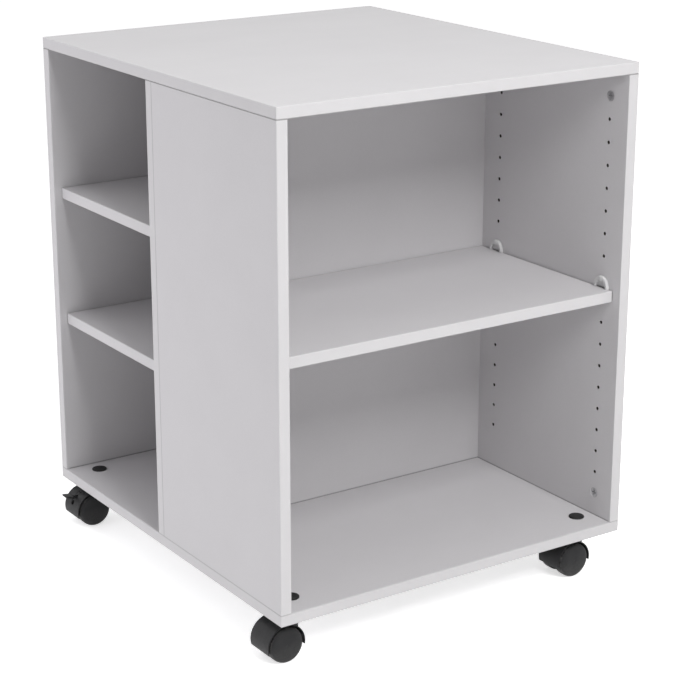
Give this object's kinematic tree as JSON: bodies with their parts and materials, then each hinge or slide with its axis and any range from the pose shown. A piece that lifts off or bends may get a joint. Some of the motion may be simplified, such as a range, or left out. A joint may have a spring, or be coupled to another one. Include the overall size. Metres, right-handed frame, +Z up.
{
  "type": "mobile_open_cabinet",
  "caption": "Light grey mobile office cabinet with open front and side bays, an adjustable shelf, and twin-wheel casters, the rear pair braked",
  "frame": {"origin": "on the floor, under the middle of the carcass in plan, which is the centre of the box's bottom", "axes": "+Z up; +X to the right as seen from the front bays; +Y from the front bays to the back panel"},
  "size_m": [0.6084, 0.634, 0.74],
  "materials": {
    "board": "light grey melamine faced chipboard, fine pearl texture",
    "edging": "light grey satin moulded edging, 2 mm",
    "zinc": "die cast zinc, dull",
    "steel": "bright zinc plated steel",
    "beech": "fluted beech dowel",
    "support_plastic": "white moulded plastic",
    "cap_plastic": "black moulded plastic",
    "caster_plastic": "dark grey moulded nylon, satin",
    "wheel_plastic": "dark grey moulded nylon, satin"
  },
  "bodies": {
    "root": {"top_panel": "board", "bottom_panel": "board", "right_side_panel": "board", "left_side_panel": "board", "partition_panel": "board", "back_panel": "board", "front_shelf": "board", "upper_side_shelf": "board", "lower_side_shelf": "board", "top_panel_edging": "edging", "bottom_panel_edging": "edging", "right_side_edging": "edging", "left_side_edging": "edging", "partition_edging": "edging", "back_panel_edging": "edging", "front_shelf_edging": "edging", "upper_side_shelf_edging": "edging", "lower_side_shelf_edging": "edging", "cam_locks": "zinc", "cam_bolts": "steel", "wooden_dowels": "beech", "front_shelf_supports": "support_plastic", "upper_side_shelf_pins": "steel", "lower_side_shelf_pins": "steel", "caster_stems": "steel", "caster_sleeve_nuts": "cap_plastic", "caster_clips": "steel"},
    "front_left_swivel": {"front_left_housing": "caster_plastic", "front_left_axle": "steel"},
    "front_left_fore_wheel_body": {"front_left_fore_wheel": "wheel_plastic"},
    "front_left_aft_wheel_body": {"front_left_aft_wheel": "wheel_plastic"},
    "front_right_swivel": {"front_right_housing": "caster_plastic", "front_right_axle": "steel"},
    "front_right_fore_wheel_body": {"front_right_fore_wheel": "wheel_plastic"},
    "front_right_aft_wheel_body": {"front_right_aft_wheel": "wheel_plastic"},
    "rear_left_swivel": {"rear_left_housing": "caster_plastic", "rear_left_axle": "steel", "rear_left_lever_pin": "steel"},
    "rear_left_fore_wheel_body": {"rear_left_fore_wheel": "wheel_plastic"},
    "rear_left_aft_wheel_body": {"rear_left_aft_wheel": "wheel_plastic"},
    "rear_left_brake_lever_body": {"rear_left_brake_lever": "caster_plastic"},
    "rear_right_swivel": {"rear_right_housing": "caster_plastic", "rear_right_axle": "steel", "rear_right_lever_pin": "steel"},
    "rear_right_fore_wheel_body": {"rear_right_fore_wheel": "wheel_plastic"},
    "rear_right_aft_wheel_body": {"rear_right_aft_wheel": "wheel_plastic"},
    "rear_right_brake_lever_body": {"rear_right_brake_lever": "caster_plastic"}
  },
  "joints": [
    {"name": "front_left_caster_swivel", "type": "hinge", "parent": "root", "child": "front_left_swivel", "pos_m": [-0.243, -0.274, 0.04], "axis": [0, 0, 1], "continuous": true},
    {"name": "front_left_fore_wheel_spin", "type": "hinge", "parent": "front_left_swivel", "child": "front_left_fore_wheel_body", "pos_m": [-0.264, -0.289, 0.025], "axis": [0, 1, 0], "continuous": true},
    {"name": "front_left_aft_wheel_spin", "type": "hinge", "parent": "front_left_swivel", "child": "front_left_aft_wheel_body", "pos_m": [-0.264, -0.259, 0.025], "axis": [0, 1, 0], "continuous": true},
    {"name": "front_right_caster_swivel", "type": "hinge", "parent": "root", "child": "front_right_swivel", "pos_m": [0.243, -0.274, 0.04], "axis": [0, 0, 1], "continuous": true},
    {"name": "front_right_fore_wheel_spin", "type": "hinge", "parent": "front_right_swivel", "child": "front_right_fore_wheel_body", "pos_m": [0.222, -0.289, 0.025], "axis": [0, 1, 0], "continuous": true},
    {"name": "front_right_aft_wheel_spin", "type": "hinge", "parent": "front_right_swivel", "child": "front_right_aft_wheel_body", "pos_m": [0.222, -0.259, 0.025], "axis": [0, 1, 0], "continuous": true},
    {"name": "rear_left_caster_swivel", "type": "hinge", "parent": "root", "child": "rear_left_swivel", "pos_m": [-0.243, 0.274, 0.04], "axis": [0, 0, 1], "continuous": true},
    {"name": "rear_left_fore_wheel_spin", "type": "hinge", "parent": "rear_left_swivel", "child": "rear_left_fore_wheel_body", "pos_m": [-0.264, 0.259, 0.025], "axis": [0, 1, 0], "continuous": true},
    {"name": "rear_left_aft_wheel_spin", "type": "hinge", "parent": "rear_left_swivel", "child": "rear_left_aft_wheel_body", "pos_m": [-0.264, 0.289, 0.025], "axis": [0, 1, 0], "continuous": true},
    {"name": "rear_left_brake_lever_press", "type": "hinge", "parent": "rear_left_swivel", "child": "rear_left_brake_lever_body", "pos_m": [-0.274, 0.274, 0.043], "axis": [0, -1, 0], "range_deg": [0, 18]},
    {"name": "rear_right_caster_swivel", "type": "hinge", "parent": "root", "child": "rear_right_swivel", "pos_m": [0.243, 0.274, 0.04], "axis": [0, 0, 1], "continuous": true},
    {"name": "rear_right_fore_wheel_spin", "type": "hinge", "parent": "rear_right_swivel", "child": "rear_right_fore_wheel_body", "pos_m": [0.264, 0.259, 0.025], "axis": [0, 1, 0], "continuous": true},
    {"name": "rear_right_aft_wheel_spin", "type": "hinge", "parent": "rear_right_swivel", "child": "rear_right_aft_wheel_body", "pos_m": [0.264, 0.289, 0.025], "axis": [0, 1, 0], "continuous": true},
    {"name": "rear_right_brake_lever_press", "type": "hinge", "parent": "rear_right_swivel", "child": "rear_right_brake_lever_body", "pos_m": [0.274, 0.274, 0.043], "axis": [0, 1, 0], "range_deg": [0, 18]}
  ]
}
